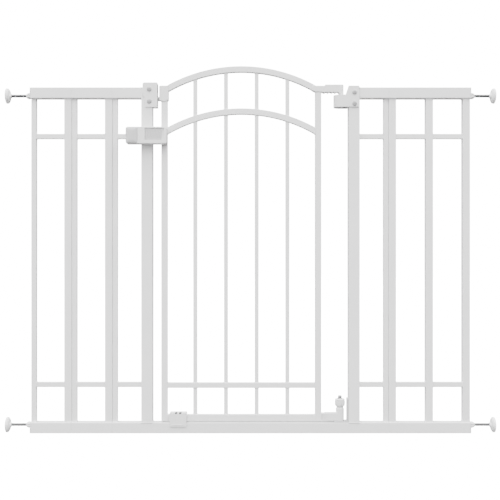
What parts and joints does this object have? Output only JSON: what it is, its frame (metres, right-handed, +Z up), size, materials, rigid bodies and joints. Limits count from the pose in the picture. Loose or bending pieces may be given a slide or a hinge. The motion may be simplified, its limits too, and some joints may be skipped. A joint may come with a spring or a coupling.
{
  "type": "safety baby gate",
  "caption": "White tubular steel pressure-fitted safety gate with an arched swing door, side extensions and screw-out wall cups.",
  "frame": {"origin": "on the floor under the middle of the bottom beam, midway between the two walls and in the middle of the tubes' depth", "axes": "+X along the gate towards the hinge side (the viewer's right from the front), -Y to the front where the door opens, +Z up"},
  "size_m": [1.2224, 0.064, 0.9165],
  "materials": {
    "white_powder_coat": "satin",
    "white_plastic": "satin",
    "grey_plastic": "satin",
    "zinc_steel": "satin"
  },
  "bodies": {
    "frame": {"bottom_beam": "white_powder_coat", "left_post": "white_powder_coat", "right_post": "white_powder_coat", "left_top_beam": "white_powder_coat", "right_top_beam": "white_powder_coat", "left_side_ladder": "white_powder_coat", "right_side_ladder": "white_powder_coat", "inner_left_extension_top_beam": "white_powder_coat", "inner_left_extension_bottom_beam": "white_powder_coat", "inner_left_extension_ladder": "white_powder_coat", "outer_left_extension_top_beam": "white_powder_coat", "outer_left_extension_bottom_beam": "white_powder_coat", "outer_left_extension_ladder": "white_powder_coat", "right_extension_top_beam": "white_powder_coat", "right_extension_bottom_beam": "white_powder_coat", "right_extension_ladder": "white_powder_coat", "end_cap_left_top": "white_plastic", "end_cap_left_bottom": "white_plastic", "end_cap_right_top": "white_plastic", "end_cap_right_bottom": "white_plastic", "hinge_bracket": "white_plastic", "hinge_screw_upper": "zinc_steel", "hinge_screw_lower": "zinc_steel", "top_hinge_pin": "zinc_steel", "lower_hinge_bracket": "white_powder_coat", "lower_hinge_pin": "zinc_steel", "latch_catch": "white_plastic", "catch_screw_upper": "zinc_steel", "catch_screw_lower": "zinc_steel"},
    "door": {"door_frame": "white_powder_coat", "upper_arch": "white_powder_coat", "lower_arch": "white_powder_coat", "door_cross_rail": "white_powder_coat", "spindle_1": "white_powder_coat", "spindle_2": "white_powder_coat", "spindle_3": "white_powder_coat", "spindle_4": "white_powder_coat", "hinge_arm": "white_plastic", "lower_hinge_sleeve": "white_plastic", "closing_spring": "zinc_steel", "door_corner_sleeve": "white_plastic", "handle_housing": "white_plastic", "stop_clip": "white_plastic"},
    "tension_knob": {"tension_knob": "white_plastic"},
    "thumb_slide": {"thumb_slide": "grey_plastic"},
    "top_bolt": {"top_bolt": "grey_plastic"},
    "latch_hook": {"latch_hook": "grey_plastic"},
    "stop_tab": {"stop_tab": "white_plastic"},
    "wall_rod_left_top": {"wall_rod_left_top": "zinc_steel", "wall_cup_left_top": "white_plastic"},
    "hand_nut_left_top": {"hand_nut_left_top": "white_plastic"},
    "wall_rod_left_bottom": {"wall_rod_left_bottom": "zinc_steel", "wall_cup_left_bottom": "white_plastic"},
    "hand_nut_left_bottom": {"hand_nut_left_bottom": "white_plastic"},
    "wall_rod_right_top": {"wall_rod_right_top": "zinc_steel", "wall_cup_right_top": "white_plastic"},
    "hand_nut_right_top": {"hand_nut_right_top": "white_plastic"},
    "wall_rod_right_bottom": {"wall_rod_right_bottom": "zinc_steel", "wall_cup_right_bottom": "white_plastic"},
    "hand_nut_right_bottom": {"hand_nut_right_bottom": "white_plastic"}
  },
  "joints": [
    {"name": "door_swing", "type": "hinge", "parent": "frame", "child": "door", "pos_m": [0.224, 0, 0.45], "axis": [0, 0, 1], "range_deg": [0, 100], "stiffness_Nm_per_rad": 0.35, "springref_deg": -8.59},
    {"name": "tension_knob_turn", "type": "hinge", "parent": "frame", "child": "tension_knob", "pos_m": [0.224, 0, 0.0758], "axis": [0, 0, 1], "range_deg": [-180, 180]},
    {"name": "thumb_slide_press", "type": "slide", "parent": "door", "child": "thumb_slide", "axis": [1, 0, 0], "range_m": [0, 0.006], "stiffness_N_per_m": 350},
    {"name": "top_bolt_slide", "type": "slide", "parent": "door", "child": "top_bolt", "axis": [1, 0, 0], "range_m": [0, 0.009]},
    {"name": "latch_hook_slide", "type": "slide", "parent": "door", "child": "latch_hook", "axis": [-1, 0, 0], "range_m": [0, 0.006]},
    {"name": "stop_tab_lift", "type": "slide", "parent": "door", "child": "stop_tab", "axis": [0, 0, 1], "range_m": [0, 0.012]},
    {"name": "wall_rod_left_top_slide", "type": "slide", "parent": "frame", "child": "wall_rod_left_top", "axis": [-1, 0, 0], "range_m": [-0.035, 0.025]},
    {"name": "hand_nut_left_top_turn", "type": "hinge", "parent": "frame", "child": "hand_nut_left_top", "pos_m": [-0.5482, 0, 0.84275], "axis": [-1, 0, 0], "range_deg": [-10080, 7200]},
    {"name": "wall_rod_left_bottom_slide", "type": "slide", "parent": "frame", "child": "wall_rod_left_bottom", "axis": [-1, 0, 0], "range_m": [-0.035, 0.025]},
    {"name": "hand_nut_left_bottom_turn", "type": "hinge", "parent": "frame", "child": "hand_nut_left_bottom", "pos_m": [-0.5482, 0, 0.01955], "axis": [-1, 0, 0], "range_deg": [-10080, 7200]},
    {"name": "wall_rod_right_top_slide", "type": "slide", "parent": "frame", "child": "wall_rod_right_top", "axis": [1, 0, 0], "range_m": [-0.035, 0.025]},
    {"name": "hand_nut_right_top_turn", "type": "hinge", "parent": "frame", "child": "hand_nut_right_top", "pos_m": [0.5482, 0, 0.84275], "axis": [1, 0, 0], "range_deg": [-10080, 7200]},
    {"name": "wall_rod_right_bottom_slide", "type": "slide", "parent": "frame", "child": "wall_rod_right_bottom", "axis": [1, 0, 0], "range_m": [-0.035, 0.025]},
    {"name": "hand_nut_right_bottom_turn", "type": "hinge", "parent": "frame", "child": "hand_nut_right_bottom", "pos_m": [0.5482, 0, 0.01955], "axis": [1, 0, 0], "range_deg": [-10080, 7200]}
  ],
  "couplings": [
    {"joint": "top_bolt_slide", "follows": "thumb_slide_press", "ratio": 1.5},
    {"joint": "latch_hook_slide", "follows": "thumb_slide_press", "ratio": 1},
    {"joint": "hand_nut_left_top_turn", "follows": "wall_rod_left_top_slide", "rad_per_m": 5026.5},
    {"joint": "hand_nut_left_bottom_turn", "follows": "wall_rod_left_bottom_slide", "rad_per_m": 5026.5},
    {"joint": "hand_nut_right_top_turn", "follows": "wall_rod_right_top_slide", "rad_per_m": 5026.5},
    {"joint": "hand_nut_right_bottom_turn", "follows": "wall_rod_right_bottom_slide", "rad_per_m": 5026.5}
  ]
}
